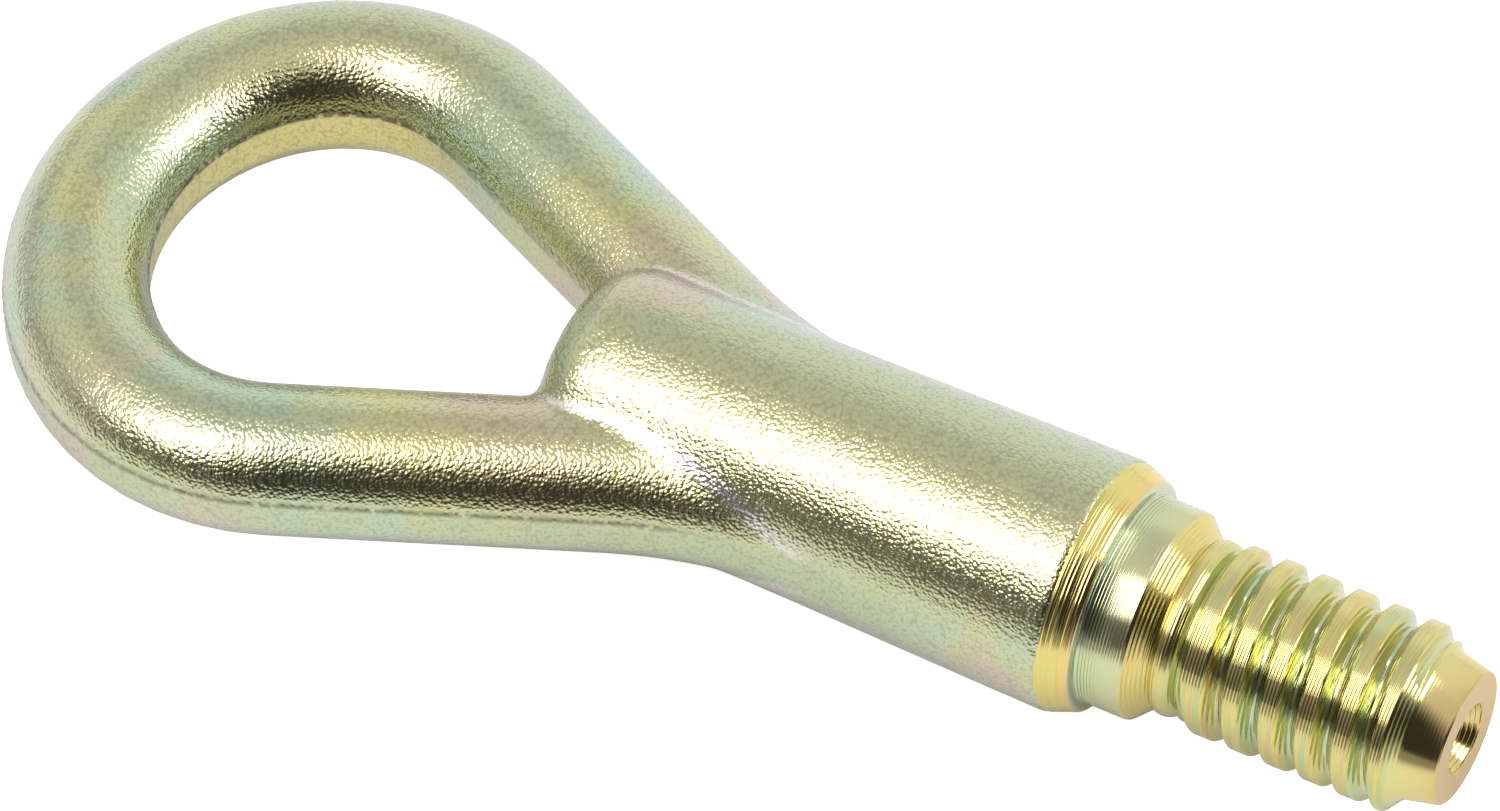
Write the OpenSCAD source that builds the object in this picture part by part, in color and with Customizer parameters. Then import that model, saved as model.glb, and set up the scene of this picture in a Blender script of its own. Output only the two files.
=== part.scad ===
// Screw-in tow eye: one steel forging with a turned and threaded end, zinc plated.
// The screw axis is X with the tip at +X, the eye lies in the XY plane, and Z is up.
// X = 0 is the shoulder seat, the face that comes to rest when the screw is home.

/* [Eye] */
// From the shoulder seat back to the middle of the ring
eye_x = 92.5; // [91:0.5:98]
// Half length of the ring along the shank, to the middle of the bar
eye_half_l = 23.4; // [21:0.1:26]
// Half width of the ring across the shank, to the middle of the bar
eye_half_w = 26.6; // [24:0.1:29]
// Diameter of the bar in the ring and the legs
bar_d = 15.4; // [13:0.1:17]
// Angle of each leg from the shank axis
leg_angle = 24.5; // [23:0.5:26]
// Height of the trimmed land round the outside of the eye
outer_land = 3.4; // [1:0.1:5]
// Height of the trimmed land round the hole
inner_land = 4.2; // [1:0.1:6]
// Radius where a leg meets the end of the shank inside the hole
crotch_r = 3.6; // [2:0.1:4.5]

/* [Shank] */
// Diameter of the shank between the legs
shank_d = 25.4; // [23:0.1:26.6]
// Diameter of the shank where the turned end begins
collar_d = 27; // [26.8:0.1:28]
// Length over which the shank swells to the collar
swell_l = 44; // [20:1:50]
// From the shoulder seat back to the end of the shank inside the hole
boss_l = 62.8; // [58:0.1:65]
// Rounding on that end of the shank
boss_round = 5.8; // [3:0.1:6.5]
// Radius that sweeps each leg into the side of the shank
sweep_r = 50; // [42:1:56]
// Distance from the axis at which the bar runs out inside the shank
sweep_y = 5.4; // [4.5:0.1:6.5]
// Width of the soft crease between the bar and the shank
crease_w = 1.6; // [0.4:0.1:3]

/* [Shoulder and neck] */
// Length of the turned collar in front of the shoulder seat
collar_l = 3; // [2:0.1:5]
// Step from the forged skin down to the turned collar
skin_step = 0.15; // [0.1:0.01:0.3]
// Diameter of the shoulder lip
lip_d = 24.9; // [24:0.1:25.5]
// Rounding of the shoulder lip
lip_round = 0.8; // [0.4:0.05:1]
// Diameter of the plain neck that centres the screw
neck_d = 22.2; // [20:0.1:22.4]
// Length of the plain neck
neck_l = 4.85; // [3:0.05:8]
// Fillet between the seat and the neck
root_fillet = 0.2; // [0.1:0.05:0.3]
// Cone angle between the neck and the bead, from the axis
neck_cone_angle = 45; // [35:1:60]
// Diameter at the foot of that cone
cone_foot_d = 17.8; // [17:0.1:18.4]
// Diameter over the rounded bead
bead_d = 18.7; // [18.5:0.05:19]
// Radius of the bead's round top
bead_round = 1.6; // [1.3:0.05:1.9]
// Diameter at the bottom of the relief groove
relief_d = 16.4; // [16.1:0.1:16.6]
// Width of the relief groove at its bottom
relief_w = 0.3; // [0.2:0.05:0.6]
// Slope of the relief groove's wall on the thread side, from square
relief_slope = 20; // [15:1:25]

/* [Thread] */
// Diameter over the thread crests
thread_d = 19.6; // [19.2:0.05:20]
// Distance from one crest to the next
pitch = 4; // [3.8:0.05:4.2]
// Depth of the thread
thread_depth = 1.4; // [1.25:0.05:1.5]
// Width of the flat crest
crest_w = 1.6; // [1.4:0.05:1.65]
// Broken edge along each side of the crest
crest_break = 0.12; // [0.08:0.02:0.2]
// Slope of each flank from square
flank_angle = 35; // [28:1:38]
// Length of the cylinder that carries the thread
thread_l = 21.95; // [18:0.05:26]
// Turn of the thread about the axis, from +Y towards +Z
thread_turn = 115; // [0:1:359]

/* [Tip] */
// Angle of the cone from the thread down to the dog point, from the axis
run_out_angle = 52; // [40:1:60]
// Diameter of the dog point at the thread
dog_d = 15.85; // [15:0.05:15.9]
// Diameter of the dog point at its end
tip_d = 14.2; // [13:0.1:15]
// Length of the dog point
dog_l = 3.8; // [2:0.1:6]
// Broken edge round the end
tip_break = 0.15; // [0.1:0.05:0.5]
// Diameter of the centre drilling at the end face
centre_d = 7.4; // [5:0.1:9]
// Angle of the centre drilling across its cone
centre_angle = 60; // [50:1:120]
// Diameter of the pilot hole at the bottom of the centre drilling
pilot_d = 2.5; // [1:0.1:4]
// Depth of the pilot hole beyond the cone
pilot_l = 3; // [1:0.1:6]

/* [Hidden] */
steel = [0.78, 0.74, 0.45];

// Fineness of the forged surface: points across a half section, and steps along each stretch
across_n = 18;
ring_n = 16;
leg_n = 6;
sweep_n = 11;
side_n = 3;
cap_n = 10;
// Least half height of the parting land, where the shank's side meets the parting plane
least_land = 0.3;
// Steps along a turned rounding, and thread sections in one turn
round_n = 5;
turn_n = 36;
// Share of the groove's half width at its bottom that is rounded
bottom_share = 0.8;
// Share of the shank's end that the side stations leave for the cap stations
boss_share = 0.6;
// How far a cutter reaches past the surface it cuts
over = 0.4;
$fn = 72;

bar_r = bar_d / 2;
outer_reach = sqrt(pow(bar_r, 2) - pow(outer_land / 2, 2));
inner_reach = sqrt(pow(bar_r, 2) - pow(inner_land / 2, 2));

// Unit vectors along and square to a leg, in the plane of the eye
leg_along = [cos(leg_angle), -sin(leg_angle)];
leg_out = [sin(leg_angle), cos(leg_angle)];

// Where the ring hands over to the straight leg
ring_end = atan2(eye_half_w * cos(leg_angle), eye_half_l * sin(leg_angle));
leg_start = ring_point(ring_end);

// Arc that sweeps the middle of the bar from the leg to run along the shank
arc_r = sweep_r + bar_r;
arc_y = sweep_y + arc_r;
arc_x = leg_start.x + (arc_r - (arc_y - leg_start.y) * leg_out.y) / leg_out.x;
arc_centre = [arc_x, arc_y];
arc_start = arc_centre - leg_out * arc_r;
outer_arc_r = arc_r - outer_reach;

// Fillet in the corner between a leg's inner edge and the end of the shank
boss_x = -boss_l;
leg_inner = leg_start - leg_out * inner_reach;
crotch_x = boss_x - crotch_r;
crotch_y = leg_inner.y + (-crotch_r - (crotch_x - leg_inner.x) * leg_out.x) / leg_out.y;
crotch_centre = [crotch_x, crotch_y];
crotch_start = crotch_centre + leg_out * crotch_r;

// Where the outer edge reaches the side of the shank, and the corner of the forged skin
shank_r = shank_d / 2;
collar_r = collar_d / 2;
skin_x = -collar_l;
side_y = sqrt(pow(shank_r, 2) - pow(least_land, 2));
side_angle = acos(min((arc_y - side_y) / outer_arc_r, 1));
skin_corner = [skin_x, sqrt(pow(collar_r, 2) - pow(least_land, 2))];

// Points of the middle line of the bar and the direction square to it, ring part
function ring_point(t) = [-eye_x + eye_half_l * cos(t), eye_half_w * sin(t)];
function ring_out(t) = [cos(t) / eye_half_l, sin(t) / eye_half_w] / norm([cos(t) / eye_half_l, sin(t) / eye_half_w]);
function polar(r, a) = [r * cos(a), r * sin(a)];
function mix(a, b, s) = a + (b - a) * s;

// Larger of two heights, with the corner between them rounded over a width k
function soft_max(a, b, k) = max(a, b) + pow(max(k - abs(a - b), 0), 2) / (4 * k);

// Stations: [point on the inner edge, point on the outer edge] from the far end of the ring to the skin end
ring_stations = [
    for (i = [0 : ring_n])
        let (t = mix(180, ring_end, i / ring_n), c = ring_point(t), n = ring_out(t))
            [c - n * inner_reach, c + n * outer_reach]
];
leg_stations = [
    for (i = [1 : leg_n])
        let (s = i / leg_n)
            [
                mix(leg_inner, crotch_start, s),
                mix(leg_start, arc_start, s) + leg_out * outer_reach
            ]
];
sweep_stations = [
    for (i = [1 : sweep_n])
        let (s = i / sweep_n, a = mix(leg_angle, side_angle, s))
            [
                crotch_centre + polar(crotch_r, (90 - leg_angle) * (1 - s)),
                arc_centre - outer_arc_r * [sin(a), cos(a)]
            ]
];
boss_edge_y = crotch_centre.y;
boss_mid_y = boss_edge_y * boss_share;
side_stations = [
    for (i = [1 : side_n])
        let (s = i / side_n)
            [
                [boss_x, mix(boss_edge_y, boss_mid_y, s)],
                mix(arc_centre - outer_arc_r * [sin(side_angle), cos(side_angle)], skin_corner, s)
            ]
];
cap_stations = [
    for (i = [1 : cap_n])
        let (s = i / cap_n)
            [
                [boss_x, boss_mid_y * (1 - s)],
                [skin_x, collar_r * sin(90 * (1 - s))]
            ]
];
half_stations = concat(ring_stations, leg_stations, sweep_stations, side_stations, cap_stations);
half_n = len(half_stations) - 1;
station_n = 2 * half_n;
loop_n = 2 * (across_n + 1);

// Distance of a plan point from the middle line of the bar
function leg_gap(p) = abs((p - leg_start) * leg_out);
function bar_gap(p) =
    (p - arc_start) * leg_along < 0 ? leg_gap(p)
    : p.x < arc_centre.x ? abs(norm(p - arc_centre) - arc_r)
    : abs(p.y - sweep_y);
function bar_height(gap) = sqrt(max(pow(bar_r, 2) - pow(gap, 2), 0));

// Radius of the shank at x, with its rounded end, and its height over a plan point
function swell(x) = mix(shank_r, collar_r, min(max((x - skin_x) / swell_l + 1, 0), 1));
function end_drop(e) = boss_round - sqrt(pow(boss_round, 2) - pow(boss_round - e, 2));
function shank_radius(x) = swell(x) - end_drop(min(max(x - boss_x, 0), boss_round));
function shank_height(p) =
    p.x < boss_x - least_land / 10 ? 0
    : sqrt(max(pow(shank_radius(p.x), 2) - pow(p.y, 2), 0));

function skin_height(p) = max(soft_max(bar_height(bar_gap(p)), shank_height(p), crease_w), least_land);

// Points across a station crowd towards both edges, where the section turns steepest
function across(j) = (1 - cos(180 * j / across_n)) / 2;
function station_point(i, j) = mix(half_stations[i][0], half_stations[i][1], across(j));
function station_height(i, j) =
    i <= ring_n ? bar_height(mix(-inner_reach, outer_reach, across(j)))
    : skin_height(station_point(i, j));

// The loop of a station runs over the top from the hole outwards and back underneath
function loop_point(i, side, k) =
    let (j = k <= across_n ? k : loop_n - 1 - k, up = k <= across_n ? 1 : -1)
        let (p = station_point(i, j))
            [p.x, side * p.y, up * station_height(i, j)];

forged_points = [
    for (m = [0 : station_n - 1])
        let (i = m <= half_n ? m : station_n - m, side = m <= half_n ? 1 : -1)
            for (k = [0 : loop_n - 1])
                loop_point(i, side, k)
];

function forged_index(m, k) = (m % station_n) * loop_n + k % loop_n;
forged_faces = [
    for (m = [0 : station_n - 1])
        for (k = [0 : loop_n - 1])
            let (
                a = forged_index(m, k),
                b = forged_index(m + 1, k),
                c = forged_index(m + 1, k + 1),
                d = forged_index(m, k + 1),
                near = m < half_n,
                top = k <= across_n
            )
                each (near == top ? [[a, c, b], [a, d, c]] : [[a, d, b], [b, d, c]])
];

// Turned end: radii, positions and the outline from the collar to the end face
core_r = collar_r - skin_step;
lip_r = lip_d / 2;
neck_r = neck_d / 2;
cone_foot_r = cone_foot_d / 2;
cone_foot_x = neck_l + (neck_r - cone_foot_r) / tan(neck_cone_angle);
bead_r = bead_d / 2;
bead_start = -acos((cone_foot_r - bead_r + bead_round) / bead_round);
bead_x = cone_foot_x - bead_round * sin(bead_start);
bead_end = 55;
relief_wall = 0.2;
relief_r = relief_d / 2;
relief_x = bead_x + bead_round * sin(bead_end) + relief_wall;
thread_r = thread_d / 2;
thread_x = relief_x + relief_w + (thread_r - relief_r) * tan(relief_slope);
thread_end_x = thread_x + thread_l;
dog_r = dog_d / 2;
dog_x = thread_end_x + (thread_r - dog_r) / tan(run_out_angle);
tip_r = tip_d / 2;
tip_x = dog_x + dog_l;
overlap_l = 2;

// Arc points in the [radius, x] plane, from angle a0 to a1, 0 facing outwards and 90 towards the tip
function turned_arc(centre, r, a0, a1) = [
    for (i = [0 : round_n])
        let (a = mix(a0, a1, i / round_n))
            [centre.x + r * cos(a), centre.y + r * sin(a)]
];

turned_outline = concat(
    [[0, skin_x - overlap_l], [core_r, skin_x - overlap_l], [core_r, skin_x]],
    turned_arc([lip_r - lip_round, -lip_round], lip_round, 20, 90),
    turned_arc([neck_r + root_fillet, root_fillet], root_fillet, 270, 180),
    [[neck_r, neck_l]],
    turned_arc([bead_r - bead_round, bead_x], bead_round, bead_start, bead_end),
    [
        [relief_r, relief_x],
        [relief_r, relief_x + relief_w],
        [thread_r, thread_x],
        [thread_r, thread_end_x],
        [dog_r, dog_x],
        [tip_r, tip_x - tip_break],
        [tip_r - tip_break, tip_x],
        [0, tip_x]
    ]
);

// Thread cutter: a trapezoid with a rounded bottom and flared lips, run round the axis as a right-hand screw
root_r = thread_r - thread_depth;
gap_half = (pitch - crest_w) / 2;
bottom_half = gap_half - crest_break - (thread_depth - crest_break) * tan(flank_angle);
bottom_round = bottom_half * bottom_share;
cutter_section = [
    [thread_r + over, gap_half + over],
    [thread_r - crest_break, gap_half - crest_break],
    [root_r + bottom_round, bottom_half + bottom_round * tan(flank_angle)],
    [root_r, bottom_half - bottom_round],
    [root_r, bottom_round - bottom_half],
    [root_r + bottom_round, -bottom_half - bottom_round * tan(flank_angle)],
    [thread_r - crest_break, crest_break - gap_half],
    [thread_r + over, -gap_half - over]
];
section_n = len(cutter_section);

// The cut comes in over the relief groove, deepens over the entry, and leaves through the run-out cone
entry_turn = 0.28;
cut_start_x = relief_x + relief_w / 2;
cut_end_x = dog_x + gap_half + over;
cut_n = ceil((cut_end_x - cut_start_x) / pitch * turn_n);
function cut_angle(i) = thread_turn + 360 * i / turn_n;
function cut_x(i) = cut_start_x + pitch * i / turn_n;
function cut_lift(i) = (thread_depth + over / 2) * max(1 - i / (turn_n * entry_turn), 0);
cutter_points = [
    for (i = [0 : cut_n])
        for (q = cutter_section)
            let (r = q.x + cut_lift(i))
                [cut_x(i) + q.y, r * cos(cut_angle(i)), r * sin(cut_angle(i))]
];
function cutter_index(i, k) = i * section_n + k % section_n;
cutter_faces = concat(
    [[for (k = [0 : section_n - 1]) section_n - 1 - k]],
    [
        for (i = [0 : cut_n - 1])
            for (k = [0 : section_n - 1])
                let (
                    a = cutter_index(i, k),
                    b = cutter_index(i + 1, k),
                    c = cutter_index(i + 1, k + 1),
                    d = cutter_index(i, k + 1)
                )
                    each [[a, d, c], [a, c, b]]
    ],
    [[for (k = [0 : section_n - 1]) cutter_index(cut_n, k)]]
);

// Centre drilling
centre_r = centre_d / 2;
pilot_r = pilot_d / 2;
centre_l = (centre_r - pilot_r) / tan(centre_angle / 2);

module forged_body() {
    polyhedron(points = forged_points, faces = forged_faces, convexity = 8);
}

module thread_cutter() {
    polyhedron(points = cutter_points, faces = cutter_faces, convexity = 12);
}

module centre_drilling() {
    rotate_extrude() {
        polygon([
            [0, tip_x - centre_l - pilot_l],
            [pilot_r, tip_x - centre_l - pilot_l],
            [pilot_r, tip_x - centre_l],
            [centre_r, tip_x],
            [centre_r, tip_x + over],
            [0, tip_x + over]
        ]);
    }
}

module turned_end() {
    difference() {
        rotate([0, 90, 0]) {
            rotate_extrude() {
                polygon(turned_outline);
            }
        }
        thread_cutter();
        rotate([0, 90, 0]) {
            centre_drilling();
        }
    }
}

module tow_eye() {
    color(steel) {
        union() {
            forged_body();
            turned_end();
        }
    }
}

tow_eye();
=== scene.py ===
import math

import bpy
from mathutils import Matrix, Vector


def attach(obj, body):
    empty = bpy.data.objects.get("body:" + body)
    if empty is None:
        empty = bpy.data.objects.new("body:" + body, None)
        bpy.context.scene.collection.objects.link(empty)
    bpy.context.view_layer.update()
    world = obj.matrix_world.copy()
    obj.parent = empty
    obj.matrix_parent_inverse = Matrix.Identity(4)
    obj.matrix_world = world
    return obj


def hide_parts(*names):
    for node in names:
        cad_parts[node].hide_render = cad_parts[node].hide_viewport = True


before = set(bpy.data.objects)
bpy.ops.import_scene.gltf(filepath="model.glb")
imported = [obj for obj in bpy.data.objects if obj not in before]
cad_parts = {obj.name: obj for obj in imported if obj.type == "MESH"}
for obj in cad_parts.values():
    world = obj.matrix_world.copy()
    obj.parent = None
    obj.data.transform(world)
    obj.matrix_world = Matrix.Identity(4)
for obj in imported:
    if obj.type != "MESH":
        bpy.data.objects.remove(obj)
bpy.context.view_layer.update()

MM = 0.001
X_AXIS = (1, 0, 0)

# Sizes of the turned end, in millimetres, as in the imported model. X runs along the screw, 0 is the shoulder seat.
SKIN_X = -3.0
COLLAR_R = 13.35
LIP_R = 12.45
LIP_ROUND = 0.8
LIP_START = 20
NECK_R = 11.1
NECK_L = 4.85
CONE_FOOT_R = 8.9
CONE_FOOT_X = 7.05
BEAD_R = 9.35
BEAD_X = 8.162
BEAD_ROUND = 1.6
BEAD_START = -44.05
BEAD_END = 55
RELIEF_R = 8.2
RELIEF_X = 9.673
RELIEF_W = 0.3
THREAD_R = 9.8
THREAD_X = 10.555
THREAD_L = 21.95
PITCH = 4.0
CREST_W = 1.6
CREST_BREAK = 0.12
DEPTH = 1.4
FLANK = math.radians(35)
THREAD_TURN = math.radians(115)
DOG_R = 7.925
DOG_X = 33.97
TIP_R = 7.1
TIP_X = 37.77
TIP_BREAK = 0.15
CENTRE_R = 3.7
PILOT_R = 1.25
CENTRE_L = 4.24
PILOT_L = 3.0

# Sizes of the bar of the eye and of the shank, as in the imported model.
EYE_X = 92.5
HALF_L = 23.4
HALF_W = 26.6
BAR_R = 7.7
LEG_ANGLE = math.radians(24.5)
OUTER_LAND = 3.4
INNER_LAND = 4.2
SHANK_R = 12.7
SHANK_END_R = COLLAR_R + 0.15
SWELL_L = 44.0
BOSS_L = 62.8
BOSS_ROUND = 5.8
SWEEP_R = 50.0
SWEEP_Y = 5.4
FLOOR_Z = -13.5

# The forged skin: grid it is rebuilt on, in metres, and passes of smoothing.
SKIN_GRID = 0.00045
SKIN_PASSES = 6
SKIN_SHARP = 60

# The trimmed lands, in millimetres: where they fade out along X, the soft step at their upper edge,
# and how far a face may lean before it no longer belongs to them.
INNER_FADE = (-92, -78)
OUTER_FADE = (-48, -36)
LAND_STEP = (-0.2, 0.15)
LAND_LEAN = (0.6, 0.9)
TORN_LEAN = (0.45, 0.65)
TORN_RISE = 0.05
TORN_CORE = 0.08
TORN_REACH_INSIDE = 0.48
TORN_REACH_OUTSIDE = 0.36
TORN_LEAST_INSIDE = 0.45
TORN_LIFT_INSIDE = 0.14
TORN_LIFT_OUTSIDE = -0.1

# The crease between legs and shank: its end along X, the least height and the soft width.
CREASE_END = -22
CREASE_FADE = (-36, -24)
CREASE_LEAST = 2
CREASE_W = (0.1, 1.0)

# Rings left by the tool: how many, and how deep in millimetres. Each ring is one groove and one crest.
COLLAR_RINGS = (5, 0.05)
NECK_RINGS = (12, 0.03)
CONE_RINGS = (7, 0.02)
CENTRE_RINGS = (9, -0.05)
RING_SHAPE = ((0.0, 1.0), (0.3, 0.15), (0.6, 0.0), (0.88, 0.3))
ROUND_SEGMENTS = 144
TURNED_SHARP = 24

# The groove of the thread: steps in a turn, the part of a turn over which it sinks in, and its overlap outside.
STEPS_A_TURN = 96
ENTRY_TURN = 0.28
ENTRY_LIFT = 0.25
MOUTH = 0.5
RUN_OUT = 0.6


# Helpers for meshes.

def clear_selection():
    """Leave object mode with nothing selected."""
    if bpy.context.object and bpy.context.object.mode != "OBJECT":
        bpy.ops.object.mode_set(mode="OBJECT")
    bpy.ops.object.select_all(action="DESELECT")


def make_active(piece):
    """Select one piece alone."""
    clear_selection()
    piece.select_set(True)
    bpy.context.view_layer.objects.active = piece


def apply_modifier(piece, kind, **settings):
    """Add one modifier, set it and apply it."""
    make_active(piece)
    modifier = piece.modifiers.new(kind.lower(), kind)
    for key, value in settings.items():
        setattr(modifier, key, value)
    bpy.ops.object.modifier_apply(modifier=modifier.name)


def finish_mesh(piece, name, angle):
    """Bake the object's place into its mesh, name it and smooth it up to an angle."""
    make_active(piece)
    bpy.ops.object.transform_apply(location=True, rotation=True, scale=True)
    bpy.ops.object.shade_smooth_by_angle(angle=math.radians(angle))
    piece.name = name
    piece.data.name = name


# The forged ring, legs and shank.

def ease(value, start, end):
    """0 before start, 1 after end, smooth between."""
    t = min(max((value - start) / (end - start), 0), 1)
    return t * t * (3 - 2 * t)


def bar_and_shank(x, y):
    """Half heights of the bar and of the shank over a plan point, y taken positive."""
    along = (math.cos(LEG_ANGLE), -math.sin(LEG_ANGLE))
    out = (math.sin(LEG_ANGLE), math.cos(LEG_ANGLE))
    end = math.atan2(HALF_W * math.cos(LEG_ANGLE), HALF_L * math.sin(LEG_ANGLE))
    leg = (-EYE_X + HALF_L * math.cos(end), HALF_W * math.sin(end))
    arc_r = SWEEP_R + BAR_R
    arc_y = SWEEP_Y + arc_r
    arc_x = leg[0] + (arc_r - (arc_y - leg[1]) * out[1]) / out[0]
    side = (x - leg[0]) * out[0] + (y - leg[1]) * out[1]
    if (x - arc_x + out[0] * arc_r) * along[0] + (y - arc_y + out[1] * arc_r) * along[1] > 0:
        side = math.hypot(x - arc_x, y - arc_y) - arc_r if x < arc_x else y - SWEEP_Y
    bar = math.sqrt(max(BAR_R ** 2 - side ** 2, 0))
    radius = SHANK_R + (SHANK_END_R - SHANK_R) * min(max((x - SKIN_X) / SWELL_L + 1, 0), 1)
    into = min(max(x + BOSS_L, 0), BOSS_ROUND)
    radius -= BOSS_ROUND - math.sqrt(BOSS_ROUND ** 2 - (BOSS_ROUND - into) ** 2)
    shank = math.sqrt(max(radius ** 2 - y ** 2, 0)) if x > -BOSS_L else 0
    return bar, shank


def crease_at(x, y, z):
    """1 in the crease where a leg and the shank meet, 0 away from it."""
    if not -BOSS_L - 1 < x < CREASE_END or abs(z) <= 1:
        return 0
    bar, shank = bar_and_shank(x, abs(y))
    if min(bar, shank) <= CREASE_LEAST:
        return 0
    return (1 - ease(abs(bar - shank), *CREASE_W)) * (1 - ease(x, *CREASE_FADE))


def mark_zones(piece):
    """Paint the forged skin and raise its torn edges.

    Red is the sheared land inside the ring, green the torn edge of each land, blue the crease.
    """
    zones = piece.data.color_attributes.new("zones", "FLOAT_COLOR", "POINT")
    normals = [vertex.normal.copy() for vertex in piece.data.vertices]
    for vertex, normal, mark in zip(piece.data.vertices, normals, zones.data):
        x, y, z = (value / MM for value in vertex.co)
        lean = abs(normal.z)
        inside = normal.x * (-EYE_X - x) - normal.y * y > 0 and x < -BOSS_L + 2
        if inside:
            half, fade = INNER_LAND / 2, 1 - ease(x, *INNER_FADE)
            land = (1 - ease(z, half + LAND_STEP[0], half + LAND_STEP[1])) * fade * (1 - ease(lean, *LAND_LEAN))
            reach, share, lift = TORN_REACH_INSIDE, max(fade, TORN_LEAST_INSIDE), TORN_LIFT_INSIDE
        else:
            half, fade, land = OUTER_LAND / 2, 1 - ease(x, *OUTER_FADE), 0
            reach, share, lift = TORN_REACH_OUTSIDE, fade, TORN_LIFT_OUTSIDE
        torn = (1 - ease(abs(z - half - TORN_RISE), TORN_CORE, reach)) * share * (1 - ease(lean, *TORN_LEAN))
        mark.color = (land, torn, crease_at(x, y, z), 1)
        vertex.co += normal * lift * torn * MM


def forge_skin():
    """The forged part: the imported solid's surface, cut off at the skin end, with a forging's soft corners."""
    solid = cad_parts["tow_eye"]
    piece = bpy.data.objects.new("forged_eye", solid.data.copy())
    bpy.context.collection.objects.link(piece)
    make_active(piece)
    bpy.ops.object.mode_set(mode="EDIT")
    bpy.ops.mesh.select_all(action="SELECT")
    bpy.ops.mesh.remove_doubles(threshold=1e-6)
    cut_x = SKIN_X * MM - 0.0001
    bpy.ops.mesh.bisect(plane_co=(cut_x, 0, 0), plane_no=X_AXIS, clear_outer=True, use_fill=True)
    bpy.ops.object.mode_set(mode="OBJECT")
    apply_modifier(piece, "REMESH", mode="VOXEL", voxel_size=SKIN_GRID, use_smooth_shade=True)
    apply_modifier(piece, "SMOOTH", factor=0.5, iterations=SKIN_PASSES)
    finish_mesh(piece, "forged_eye", SKIN_SHARP)
    mark_zones(piece)
    return piece


# The turned and threaded end.

def arc(x, r, radius, start, end, steps):
    """Points (x, r) on a rounding: 0 degrees points away from the axis and 90 towards the tip."""
    angles = [math.radians(start + (end - start) * i / steps) for i in range(steps + 1)]
    return [(x + radius * math.sin(a), r + radius * math.cos(a)) for a in angles]


def ringed(start, end, rings):
    """Points (x, r) from start to end with one shallow groove and one round crest for each ring."""
    (xa, ra), (xb, rb) = start, end
    count, depth = rings
    out = []
    for i in range(count):
        for share, drop in RING_SHAPE:
            s = (i + share) / count
            out.append((xa + (xb - xa) * s, ra + (rb - ra) * s - depth * drop))
    return out


def turned_profile():
    """The outline of the turned end, from inside the forged skin to the bottom of the pilot hole."""
    turn = math.radians(LIP_START)
    lip_x = LIP_ROUND * (math.sin(turn) - 1)
    lip_start = LIP_R - LIP_ROUND * (1 - math.cos(turn))
    thread_end = THREAD_X + THREAD_L
    centre_end = TIP_X - CENTRE_L
    points = [(SKIN_X - 2, COLLAR_R - 0.3), (SKIN_X - 0.3, COLLAR_R - 0.05)]
    points += ringed((SKIN_X, COLLAR_R), (lip_x - 0.1, lip_start + 0.02), COLLAR_RINGS)
    points += arc(-LIP_ROUND, LIP_R - LIP_ROUND, LIP_ROUND, LIP_START, 90, 8)
    points += [(0, NECK_R + 0.2), (0.06, NECK_R + 0.06), (0.2, NECK_R)]
    points += ringed((0.35, NECK_R), (NECK_L - 0.1, NECK_R), NECK_RINGS)
    points += ringed((NECK_L + 0.06, NECK_R - 0.05), (CONE_FOOT_X - 0.12, CONE_FOOT_R + 0.12), CONE_RINGS)
    points += arc(BEAD_X, BEAD_R - BEAD_ROUND, BEAD_ROUND, BEAD_START, BEAD_END, 10)
    points += [(RELIEF_X, RELIEF_R + 0.1), (RELIEF_X + 0.08, RELIEF_R), (RELIEF_X + RELIEF_W, RELIEF_R)]
    points += [(THREAD_X - 0.04, THREAD_R - 0.12), (THREAD_X + 0.08, THREAD_R)]
    points += [(thread_end - 0.1, THREAD_R), (thread_end, THREAD_R - 0.06)]
    points += [(DOG_X - 0.2, DOG_R + 0.22), (DOG_X + 0.15, DOG_R - 0.03)]
    points += [(TIP_X - TIP_BREAK, TIP_R), (TIP_X, TIP_R - TIP_BREAK)]
    points += [(TIP_X, CENTRE_R + 0.1), (TIP_X - 0.1, CENTRE_R)]
    points += ringed((TIP_X - 0.2, CENTRE_R - 0.06), (centre_end, PILOT_R), CENTRE_RINGS)
    points += [(centre_end, PILOT_R), (centre_end - PILOT_L, PILOT_R)]
    return points


def turn_on_lathe(name, points, segments):
    """A disc drawn out along X, one extrusion for each point of the profile, and closed at both ends."""
    x0, r0 = points[0]
    bpy.ops.mesh.primitive_circle_add(
        vertices=segments, radius=r0 * MM, fill_type="NGON",
        location=(x0 * MM, 0, 0), rotation=(0, math.pi / 2, 0))
    piece = bpy.context.object
    piece.name = name
    bpy.ops.object.transform_apply(location=True, rotation=True, scale=True)
    bpy.ops.object.mode_set(mode="EDIT")
    bpy.ops.mesh.select_mode(type="VERT")
    bpy.ops.mesh.select_all(action="SELECT")
    for (xa, ra), (xb, rb) in zip(points[:-1], points[1:]):
        bpy.ops.mesh.extrude_region_move(TRANSFORM_OT_translate={"value": ((xb - xa) * MM, 0, 0)})
        bpy.ops.transform.resize(value=(1, rb / ra, rb / ra), center_override=(xb * MM, 0, 0))
    bpy.ops.mesh.select_all(action="SELECT")
    bpy.ops.mesh.normals_make_consistent(inside=False)
    bpy.ops.object.mode_set(mode="OBJECT")
    return piece


def groove_section():
    """The section of the groove as (r, x) points from the crest: flared mouth, straight flanks, round root."""
    half = (PITCH - CREST_W) / 2
    slope = math.tan(FLANK)
    lip = half - CREST_BREAK
    bottom = lip - (DEPTH - CREST_BREAK) * slope
    right = [
        (MOUTH, half + MOUTH), (0.0, half), (-CREST_BREAK, lip),
        (-0.2, lip - 0.08 * slope), (-0.8, lip - 0.68 * slope),
        (-DEPTH + 0.25, bottom + 0.25 * slope), (-DEPTH + 0.12, bottom + 0.07),
        (-DEPTH + 0.04, bottom - 0.01), (-DEPTH, bottom - 0.11),
    ]
    return right + [(r, -x) for r, x in reversed(right)]


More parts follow.
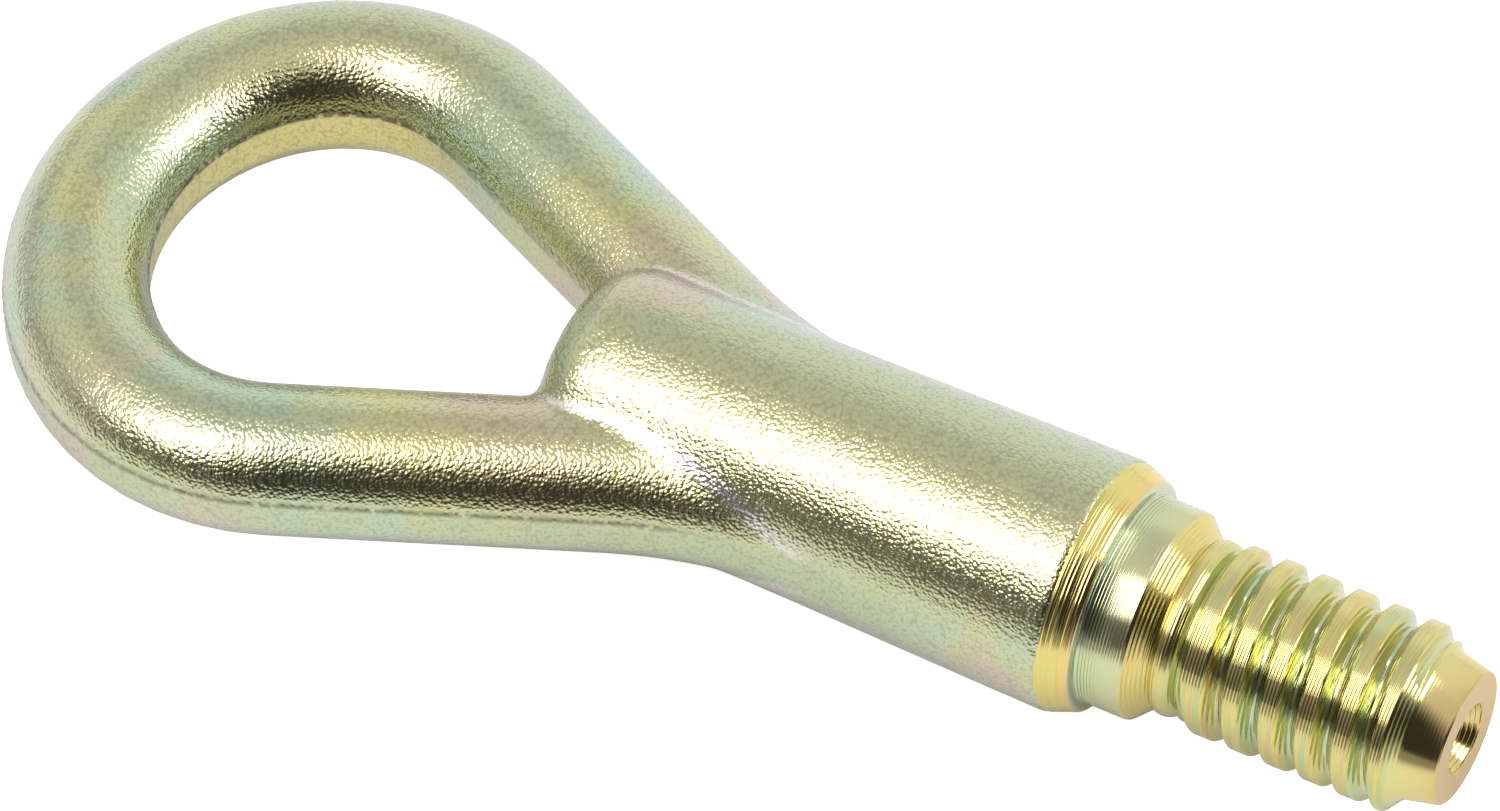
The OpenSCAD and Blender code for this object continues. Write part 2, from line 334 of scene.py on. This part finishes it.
def thread_cutter():
    """The screw groove as a solid: the section carried round by a screw, rising out of the metal at its start."""
    section = groove_section()
    start_x = RELIEF_X + RELIEF_W / 2
    turns = (DOG_X + (PITCH - CREST_W) / 2 + RUN_OUT - start_x) / PITCH
    steps = math.ceil(turns * STEPS_A_TURN)
    bpy.ops.mesh.primitive_circle_add(vertices=len(section), radius=MM, fill_type="NOTHING", location=(0, 0, 0))
    cutter = bpy.context.object
    for vertex, (r, x) in zip(cutter.data.vertices, section):
        vertex.co = ((start_x + x) * MM, (THREAD_R + r) * MM, 0)
    apply_modifier(
        cutter, "SCREW", axis="X", angle=2 * math.pi * steps / STEPS_A_TURN, steps=steps, render_steps=steps,
        screw_offset=PITCH * MM * steps / STEPS_A_TURN, use_normal_calculate=True, use_merge_vertices=False)
    ring = len(section)
    for index, vertex in enumerate(cutter.data.vertices):
        turn = (index // ring) / STEPS_A_TURN
        lift = (DEPTH + ENTRY_LIFT) * max(1 - turn / ENTRY_TURN, 0)
        a = THREAD_TURN + 2 * math.pi * turn
        r, x = section[index % ring]
        radius = THREAD_R + r + lift
        vertex.co = Vector((start_x + PITCH * turn + x, radius * math.cos(a), radius * math.sin(a))) * MM
    make_active(cutter)
    bpy.ops.object.mode_set(mode="EDIT")
    bpy.ops.mesh.select_mode(type="EDGE")
    bpy.ops.mesh.select_all(action="DESELECT")
    bpy.ops.mesh.select_non_manifold(extend=False)
    bpy.ops.mesh.edge_face_add()
    bpy.ops.mesh.select_all(action="SELECT")
    bpy.ops.mesh.normals_make_consistent(inside=False)
    bpy.ops.object.mode_set(mode="OBJECT")
    return cutter


def turn_screw_end():
    """Collar, shoulder, neck, bead, relief groove, coarse thread, dog point and centre drilling."""
    piece = turn_on_lathe("turned_end", turned_profile(), ROUND_SEGMENTS)
    cutter = thread_cutter()
    apply_modifier(piece, "BOOLEAN", operation="DIFFERENCE", object=cutter, solver="EXACT")
    bpy.data.objects.remove(cutter)
    finish_mesh(piece, "turned_end", TURNED_SHARP)
    return piece


# Helpers for materials. Each returns the socket that the next one takes.

def new_material(name):
    """An empty material with its nodes and links."""
    material = bpy.data.materials.new(name)
    material.use_nodes = True
    tree = material.node_tree
    tree.nodes.clear()
    return material, tree.nodes, tree.links


def node(nodes, kind, inputs=None, **settings):
    """One node with its settings and input values."""
    made = nodes.new(kind)
    for key, value in settings.items():
        setattr(made, key, value)
    for key, value in (inputs or {}).items():
        made.inputs[key].default_value = value
    return made


def colour_ramp(nodes, links, value, stops):
    """A colour picked along a value from (position, colour) stops."""
    made = node(nodes, "ShaderNodeValToRGB")
    elements = made.color_ramp.elements
    for index, (position, colour) in enumerate(stops):
        if index == 0:
            element = elements[0]
        elif index == len(stops) - 1:
            element = elements[-1]
        else:
            element = elements.new(position)
        element.position = position
        element.color = (*colour, 1)
    links.new(value, made.inputs["Fac"])
    return made.outputs["Color"]


def plain(nodes, colour):
    """One flat colour."""
    made = node(nodes, "ShaderNodeRGB")
    made.outputs[0].default_value = (*colour, 1)
    return made.outputs[0]


def blended(nodes, links, factor, first, second):
    """The first colour where the factor is 0, the second where it is 1."""
    made = node(nodes, "ShaderNodeMix", data_type="RGBA")
    links.new(factor, made.inputs["Factor"])
    links.new(first, made.inputs["A"])
    links.new(second, made.inputs["B"])
    return made.outputs["Result"]


def tinted(nodes, links, first, second):
    """Two colours multiplied."""
    made = node(nodes, "ShaderNodeMix", {"Factor": 1.0}, data_type="RGBA", blend_type="MULTIPLY")
    links.new(first, made.inputs["A"])
    links.new(second, made.inputs["B"])
    return made.outputs["Result"]


def product(nodes, links, first, second):
    """Two values multiplied. The second may be a plain number."""
    made = node(nodes, "ShaderNodeMath", operation="MULTIPLY")
    links.new(first, made.inputs[0])
    if isinstance(second, float):
        made.inputs[1].default_value = second
    else:
        links.new(second, made.inputs[1])
    return made.outputs[0]


def ranged(nodes, links, value, source, target=(0.0, 1.0), shape="LINEAR"):
    """A value carried from one range to another and held at its ends."""
    low, high = source
    first, last = target
    made = node(
        nodes, "ShaderNodeMapRange", {"From Min": low, "From Max": high, "To Min": first, "To Max": last},
        interpolation_type=shape)
    links.new(value, made.inputs["Value"])
    return made.outputs[0]


def dot_with(nodes, links, vector, direction):
    """How far a vector goes along a fixed direction."""
    made = node(nodes, "ShaderNodeVectorMath", operation="DOT_PRODUCT")
    made.inputs[1].default_value = direction
    links.new(vector, made.inputs[0])
    return made.outputs["Value"]


def stretched(nodes, links, vector, scale):
    """Texture coordinates drawn out along one or two axes."""
    made = node(nodes, "ShaderNodeMapping", {"Scale": scale})
    links.new(vector, made.inputs["Vector"])
    return made.outputs[0]


def noise(nodes, links, vector, scale, detail, roughness):
    """Noise at a scale per metre."""
    made = node(nodes, "ShaderNodeTexNoise", {"Scale": scale, "Detail": detail, "Roughness": roughness})
    links.new(vector, made.inputs["Vector"])
    return made.outputs["Fac"]


def patches(nodes, links, vector, scale, low, high):
    """Soft patches: 0 where the noise is below low, 1 where it is above high."""
    return ranged(nodes, links, noise(nodes, links, vector, scale, 3.0, 0.55), (low, high), shape="SMOOTHSTEP")


def raised(nodes, links, height, distance, strength=None, below=None):
    """A bump of so many metres over the one below it. A negative distance goes inwards."""
    made = node(nodes, "ShaderNodeBump", {"Strength": 1.0, "Distance": abs(distance)}, invert=distance < 0)
    links.new(height, made.inputs["Height"])
    if strength is not None:
        links.new(strength, made.inputs["Strength"])
    if below is not None:
        links.new(below, made.inputs["Normal"])
    return made.outputs["Normal"]


def mixed_shaders(nodes, links, factor, first, second):
    """The first shader where the factor is 0, the second where it is 1."""
    made = node(nodes, "ShaderNodeMixShader")
    links.new(factor, made.inputs[0])
    links.new(first, made.inputs[1])
    links.new(second, made.inputs[2])
    return made.outputs[0]


def added_shaders(nodes, links, first, second):
    """The light of two shaders together."""
    made = node(nodes, "ShaderNodeAddShader")
    links.new(first, made.inputs[0])
    links.new(second, made.inputs[1])
    return made.outputs[0]


# Tints of the forged skin, from a face seen straight on (0) to one seen along its surface (1).
OLIVE = [
    (0.0, (0.66, 0.61, 0.32)), (0.15, (0.62, 0.61, 0.35)), (0.3, (0.57, 0.62, 0.38)),
    (0.6, (0.58, 0.64, 0.46)), (0.85, (0.58, 0.60, 0.51)), (1.0, (0.58, 0.52, 0.46)),
]
MINT = [
    (0.0, (0.58, 0.60, 0.36)), (0.2, (0.52, 0.62, 0.42)), (0.5, (0.53, 0.67, 0.53)),
    (0.8, (0.54, 0.62, 0.58)), (1.0, (0.54, 0.55, 0.56)),
]
PINK = [
    (0.0, (0.68, 0.59, 0.34)), (0.3, (0.64, 0.58, 0.40)), (0.6, (0.69, 0.58, 0.49)), (1.0, (0.66, 0.51, 0.50)),
]
LEMON = [
    (0.0, (0.70, 0.64, 0.30)), (0.3, (0.68, 0.67, 0.33)), (0.6, (0.68, 0.69, 0.38)), (1.0, (0.60, 0.57, 0.42)),
]
GOLD = [
    (0.0, (0.80, 0.68, 0.28)), (0.4, (0.78, 0.69, 0.30)), (0.8, (0.76, 0.70, 0.38)), (1.0, (0.72, 0.68, 0.48)),
]
CREASE_TINT = (0.84, 0.78, 0.72)
# A near-black colour laid in broken patches along the torn edge of each land.
TORN_DARKENING = (0.10, 0.085, 0.05)
# Painted shade: the dark colour painted into the hollows between the pebbles of the skin.
PIT_SHADE_TINT = (0.30, 0.29, 0.19)

# Patches of tint on the forged skin: scale per metre, and the noise where a patch starts and where it is full.
MINT_PATCHES = (26.0, 0.47, 0.60)
LEMON_PATCHES = (31.0, 0.5, 0.63)
PINK_PATCHES = (36.0, 0.51, 0.65)
TORN_DARK_PATCHES = (1100.0, 0.3, 0.5)

# The forged skin's grain: scales per metre and heights in metres.
PEBBLE_SCALE = 2500.0
PEBBLE_HEIGHT = -0.000055
# Where the painted shade in the hollows between the pebbles starts and where it is full, and its greatest share.
PIT_SHADE_RANGE = (0.45, 0.8)
PIT_SHADE_SHARE = 0.4
GRAIN_SCALE = 3600.0
GRAIN_HEIGHT = 0.00003
SWELL_SCALE = 300.0
SWELL_HEIGHT = 0.00006
SHEAR_SCALE = 700.0
SHEAR_HEIGHT = 0.00025
SHEAR_STRETCH = (1.0, 1.0, 0.04)
LAND_CALM = 0.15
FORGED_ROUGHNESS = 0.2


def forged_plating():
    """Yellow zinc over a shot-blasted forging: pebbly skin, olive to mint with pink towards the edges."""
    material, nodes, links = new_material("zinc_on_forged_skin")
    place = node(nodes, "ShaderNodeTexCoord").outputs["Object"]
    out = node(nodes, "ShaderNodeOutputMaterial")
    metal = node(nodes, "ShaderNodeBsdfPrincipled", {"Metallic": 1.0, "Roughness": FORGED_ROUGHNESS})
    links.new(metal.outputs[0], out.inputs[0])
    facing = node(nodes, "ShaderNodeLayerWeight", {"Blend": 0.5}).outputs["Facing"]
    zones = node(nodes, "ShaderNodeVertexColor", layer_name="zones")
    split = node(nodes, "ShaderNodeSeparateColor")
    links.new(zones.outputs["Color"], split.inputs[0])
    land, torn, crease = (split.outputs[name] for name in ("Red", "Green", "Blue"))

    colour = colour_ramp(nodes, links, facing, OLIVE)
    for tints, spread in ((MINT, MINT_PATCHES), (LEMON, LEMON_PATCHES), (PINK, PINK_PATCHES)):
        share = patches(nodes, links, place, *spread)
        colour = blended(nodes, links, share, colour, colour_ramp(nodes, links, facing, tints))
    colour = blended(nodes, links, land, colour, colour_ramp(nodes, links, facing, GOLD))
    colour = blended(nodes, links, crease, colour, plain(nodes, CREASE_TINT))
    # The torn edge of each land is darkened in broken patches.
    torn_dark_patches = product(nodes, links, torn, patches(nodes, links, place, *TORN_DARK_PATCHES))
    colour = blended(nodes, links, torn_dark_patches, colour, plain(nodes, TORN_DARKENING))
    pebble = node(nodes, "ShaderNodeTexVoronoi", {"Scale": PEBBLE_SCALE}, feature="F1")
    links.new(place, pebble.inputs["Vector"])
    # Painted shade: the hollows between the pebbles are darkened.
    pit_shade = ranged(nodes, links, pebble.outputs["Distance"], PIT_SHADE_RANGE, (0.0, PIT_SHADE_SHARE))
    colour = blended(nodes, links, pit_shade, colour, plain(nodes, PIT_SHADE_TINT))
    links.new(colour, metal.inputs["Base Color"])

    calm = ranged(nodes, links, land, (0.0, 1.0), (1.0, LAND_CALM))
    swells = noise(nodes, links, place, SWELL_SCALE, 1.0, 0.5)
    grain = noise(nodes, links, place, GRAIN_SCALE, 1.0, 0.5)
    shear = noise(nodes, links, stretched(nodes, links, place, SHEAR_STRETCH), SHEAR_SCALE, 2.0, 0.6)
    relief = raised(nodes, links, swells, SWELL_HEIGHT)
    relief = raised(nodes, links, pebble.outputs["Distance"], PEBBLE_HEIGHT, calm, relief)
    relief = raised(nodes, links, grain, GRAIN_HEIGHT, calm, relief)
    relief = raised(nodes, links, shear, SHEAR_HEIGHT, land, relief)
    links.new(relief, metal.inputs["Normal"])
    return material


# Tints of the turned end along X, in millimetres from the seat.
TURNED_SPAN = (-5, 40)
TURNED = [
    (-4.0, (0.76, 0.66, 0.24)), (-1.4, (0.78, 0.66, 0.26)), (-0.8, (0.88, 0.62, 0.24)),
    (-0.25, (0.80, 0.62, 0.34)), (0.02, (0.56, 0.66, 0.62)), (0.3, (0.60, 0.66, 0.44)),
    (4.8, (0.66, 0.64, 0.40)), (5.2, (0.78, 0.62, 0.24)), (8.5, (0.70, 0.62, 0.28)),
    (9.6, (0.60, 0.62, 0.32)), (32.5, (0.66, 0.64, 0.30)), (34.5, (0.74, 0.64, 0.30)),
    (37.5, (0.72, 0.57, 0.27)), (37.74, (0.70, 0.48, 0.19)),
]

# Colours of the thread from root to crest, over a range of distances from the axis in millimetres: a pale painted
# highlight in the root, a darker painted shade on the lower flanks, and the plating's gold towards the crest.
THREAD_DEPTHS = (8, 10)
THREAD_SHADING_AND_TINT = [
    (0.0, (0.58, 0.68, 0.60)), (0.38, (0.56, 0.66, 0.56)), (0.5, (0.50, 0.58, 0.34)), (0.7, (0.50, 0.54, 0.26)),
    (0.84, (0.74, 0.64, 0.20)), (0.89, (0.72, 0.65, 0.34)), (1.0, (0.74, 0.67, 0.38)),
]
THREAD_START = (9.9, 10.6)
THREAD_STOP = (33.4, 32.6)

# Streaks of tint round the thread, and their share of its colour.
STREAKS = [
    (0.32, (0.46, 0.58, 0.40)), (0.45, (0.54, 0.54, 0.26)), (0.54, (0.76, 0.64, 0.20)), (0.66, (0.66, 0.46, 0.28)),
]
STREAK_SCALE = 1500.0
STREAK_SHARE = 0.6
ROUND_STRETCH = (1.0, 0.05, 0.05)

# What the plating's tint is multiplied by, from a face seen straight on (0) to one seen along its surface (1).
SHEEN = [
    (0.0, (1.0, 0.94, 0.86)), (0.35, (0.98, 1.02, 0.9)), (0.6, (0.98, 0.98, 0.86)),
    (0.8, (0.96, 0.93, 0.86)), (1.0, (0.96, 0.90, 0.98)),
]

# Fine tool marks: scales per metre and heights in metres. They fade towards the smooth point.
MARK_SCALE = 900.0
MARK_HEIGHT = 0.000032
MARK_FADE = (33, 34.5)
MARK_LEFT = 0.1
LINE_SCALE = 5200.0
LINE_HEIGHT = 0.000006
TURNED_ROUGHNESS = 0.16


def turned_plating():
    """The same plating on machined steel: smoother, more golden, with rings left by the tool."""
    material, nodes, links = new_material("zinc_on_turned_steel")
    place = node(nodes, "ShaderNodeTexCoord").outputs["Object"]
    out = node(nodes, "ShaderNodeOutputMaterial")
    metal = node(nodes, "ShaderNodeBsdfPrincipled", {"Metallic": 1.0, "Roughness": TURNED_ROUGHNESS})
    links.new(metal.outputs[0], out.inputs[0])
    facing = node(nodes, "ShaderNodeLayerWeight", {"Blend": 0.5}).outputs["Facing"]
    split = node(nodes, "ShaderNodeSeparateXYZ")
    links.new(place, split.inputs[0])
    across = node(nodes, "ShaderNodeCombineXYZ")
    links.new(split.outputs["Y"], across.inputs["Y"])
    links.new(split.outputs["Z"], across.inputs["Z"])
    reach = node(nodes, "ShaderNodeVectorMath", operation="LENGTH")
    links.new(across.outputs[0], reach.inputs[0])

    def along_x(span, target=(0.0, 1.0)):
        """A value that goes over its target range between two places on the screw, in millimetres."""
        return ranged(nodes, links, split.outputs["X"], (span[0] * MM, span[1] * MM), target)

    first, last = TURNED_SPAN
    stops = [((x - first) / (last - first), tint) for x, tint in TURNED]
    colour = colour_ramp(nodes, links, along_x(TURNED_SPAN), stops)
    depth = ranged(nodes, links, reach.outputs["Value"], [radius * MM for radius in THREAD_DEPTHS])
    threaded = product(nodes, links, along_x(THREAD_START), along_x(THREAD_STOP))
    # Painted highlight and shade on the thread: pale in the root, darker on the lower flanks, golden towards the
    # crest.
    colour = blended(nodes, links, threaded, colour, colour_ramp(nodes, links, depth, THREAD_SHADING_AND_TINT))
    around = stretched(nodes, links, place, ROUND_STRETCH)
    streaks = colour_ramp(nodes, links, noise(nodes, links, around, STREAK_SCALE, 2.0, 0.6), STREAKS)
    colour = blended(nodes, links, product(nodes, links, threaded, STREAK_SHARE), colour, streaks)
    colour = tinted(nodes, links, colour, colour_ramp(nodes, links, facing, SHEEN))
    links.new(colour, metal.inputs["Base Color"])

    marks = node(
        nodes, "ShaderNodeTexWave", {"Scale": MARK_SCALE, "Distortion": 0.4, "Detail": 1.0},
        wave_type="BANDS", bands_direction="X")
    links.new(place, marks.inputs["Vector"])
    lines = noise(nodes, links, around, LINE_SCALE, 2.0, 0.6)
    relief = raised(nodes, links, marks.outputs["Fac"], MARK_HEIGHT, along_x(MARK_FADE, (1.0, MARK_LEFT)))
    relief = raised(nodes, links, lines, LINE_HEIGHT, below=relief)
    links.new(relief, metal.inputs["Normal"])
    return material


# The studio. Directions are an azimuth from -Y towards +X and an elevation, in degrees. Lengths are in metres.
CAMERA_TURN = math.radians(28.351)
CAMERA_RISE = math.radians(49.699)
CAMERA_AWAY = 1.243564
CAMERA_AIM = (-0.044643, 0.004424, 0)
FOCAL_LENGTH = 296.576
SENSOR_W = 36
LAMP_AIM = (-0.045, 0, 0)

# Name, azimuth, elevation, distance, width, height and brightness of each softbox.
SOFTBOXES = [
    ("softbox_front", -26, 54, 1.1, 0.58, 0.84, 4.0),
    ("softbox_side", 110, 37, 1.3, 0.8, 0.66, 3.6),
]

# The room's grey, and its brighter and darker sides, which show in the metal:
# azimuth, elevation, cosine where the side starts, cosine where it is full, grey.
ROOM_GREY = (0.78, 0.78, 0.78)
ROOM_SIDES = [
    (-160, 12, 0.1, 0.75, 1.0), (-145, 56, 0.84, 0.97, 0.7), (-112, 2, 0.86, 0.97, 0.6),
    (-72, -8, 0.84, 0.96, 0.42), (-14, 2, 0.7, 0.92, 0.16), (48, 14, 0.56, 0.86, 0.035), (0, -90, 0.25, 0.5, 0.9),
]

# The floor: its own white and glow for the camera, and the greys that show in the metal, pale by the object
# and dark beyond it on the side towards the camera.
FLOOR_SIZE = 6
FLOOR_WHITE = (0.9, 0.9, 0.9, 1)
FLOOR_GLOW = 0.8
FLOOR_NEAR = (0.88, 0.89, 0.9)
FLOOR_FAR = (0.1, 0.1, 0.1)
FLOOR_FAR_SIDE = (35, 0)
FLOOR_FAR_START = (0.05, 0.1)
FLOOR_FAR_SHARE = 0.8
FLOOR_NEAR_LIFT = 0.02


def toward(azimuth, elevation):
    """Unit direction of an azimuth and an elevation."""
    a, e = math.radians(azimuth), math.radians(elevation)
    return Vector((math.cos(e) * math.sin(a), -math.cos(e) * math.cos(a), math.sin(e)))


def set_camera():
    """Camera at the photograph's angle, worked out from the outline."""
    level = math.cos(CAMERA_RISE)
    back = Vector((level * math.sin(CAMERA_TURN), -level * math.cos(CAMERA_TURN), math.sin(CAMERA_RISE)))
    bpy.ops.object.camera_add(
        location=Vector(CAMERA_AIM) + back * CAMERA_AWAY, rotation=(math.pi / 2 - CAMERA_RISE, 0, CAMERA_TURN))
    camera = bpy.context.object
    camera.name = "camera"
    camera.data.lens = FOCAL_LENGTH
    camera.data.sensor_width = SENSOR_W
    bpy.context.scene.camera = camera


def softbox(name, azimuth, elevation, distance, width, height, brightness):
    """A rectangular lamp turned towards the object."""
    direction = toward(azimuth, elevation)
    bpy.ops.object.light_add(type="AREA", location=Vector(LAMP_AIM) + direction * distance)
    lamp = bpy.context.object
    lamp.name = name
    lamp.rotation_euler = direction.to_track_quat("Z", "Y").to_euler()
    lamp.data.shape = "RECTANGLE"
    lamp.data.size = width
    lamp.data.size_y = height
    lamp.data.energy = brightness * math.pi * width * height


def set_world():
    """Pale room with brighter and darker sides for the metal, and pure white where the camera sees it."""
    world = bpy.data.worlds.new("studio")
    bpy.context.scene.world = world
    world.use_nodes = True
    nodes, links = world.node_tree.nodes, world.node_tree.links
    nodes.clear()
    look = node(nodes, "ShaderNodeTexCoord").outputs["Generated"]
    colour = plain(nodes, ROOM_GREY)
    for azimuth, elevation, edge, full, grey in ROOM_SIDES:
        along = dot_with(nodes, links, look, toward(azimuth, elevation))
        share = ranged(nodes, links, along, (edge, full), shape="SMOOTHSTEP")
        colour = blended(nodes, links, share, colour, plain(nodes, (grey, grey, grey)))
    room = node(nodes, "ShaderNodeBackground", {"Strength": 1.0})
    links.new(colour, room.inputs["Color"])
    white = node(nodes, "ShaderNodeBackground", {"Color": (1, 1, 1, 1), "Strength": 1.0})
    seen = node(nodes, "ShaderNodeLightPath").outputs["Is Camera Ray"]
    out = node(nodes, "ShaderNodeOutputWorld")
    links.new(mixed_shaders(nodes, links, seen, room.outputs[0], white.outputs[0]), out.inputs[0])


def set_floor():
    """Plain pale floor that keeps the object's shadow, with its own greys where it shows in the metal."""
    bpy.ops.mesh.primitive_plane_add(size=FLOOR_SIZE, location=(0, 0, FLOOR_Z * MM))
    floor = bpy.context.object
    floor.name = "floor"
    material, nodes, links = new_material("pale_floor")
    path = node(nodes, "ShaderNodeLightPath")
    glossy = path.outputs["Is Glossy Ray"]
    matt = node(nodes, "ShaderNodeBsdfDiffuse", {"Color": FLOOR_WHITE})
    glow = node(nodes, "ShaderNodeEmission", {"Color": (1, 1, 1, 1), "Strength": FLOOR_GLOW})
    for_camera = added_shaders(nodes, links, matt.outputs[0], glow.outputs[0])

    place = node(nodes, "ShaderNodeTexCoord").outputs["Object"]
    away = dot_with(nodes, links, place, toward(*FLOOR_FAR_SIDE))
    share = ranged(nodes, links, away, FLOOR_FAR_START, (0.0, FLOOR_FAR_SHARE), "SMOOTHSTEP")
    far = product(nodes, links, share, glossy)
    in_metal = node(nodes, "ShaderNodeBsdfDiffuse")
    grey = blended(nodes, links, far, plain(nodes, FLOOR_NEAR), plain(nodes, FLOOR_FAR))
    links.new(grey, in_metal.inputs["Color"])
    near = node(nodes, "ShaderNodeMath", operation="SUBTRACT", use_clamp=True)
    links.new(glossy, near.inputs[0])
    links.new(far, near.inputs[1])
    lift = node(nodes, "ShaderNodeEmission")
    links.new(product(nodes, links, near.outputs[0], FLOOR_NEAR_LIFT), lift.inputs["Strength"])
    for_metal = added_shaders(nodes, links, in_metal.outputs[0], lift.outputs[0])

    out = node(nodes, "ShaderNodeOutputMaterial")
    links.new(mixed_shaders(nodes, links, path.outputs["Is Camera Ray"], for_metal, for_camera), out.inputs[0])
    floor.data.materials.append(material)


clear_selection()
set_camera()
forged_eye = forge_skin()
turned_end = turn_screw_end()
for piece, material in ((forged_eye, forged_plating()), (turned_end, turned_plating())):
    piece.data.materials.clear()
    piece.data.materials.append(material)
    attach(piece, "root")
    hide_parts("tow_eye")
set_world()
for values in SOFTBOXES:
    softbox(*values)
set_floor()

bpy.context.scene.view_settings.view_transform = "Standard"
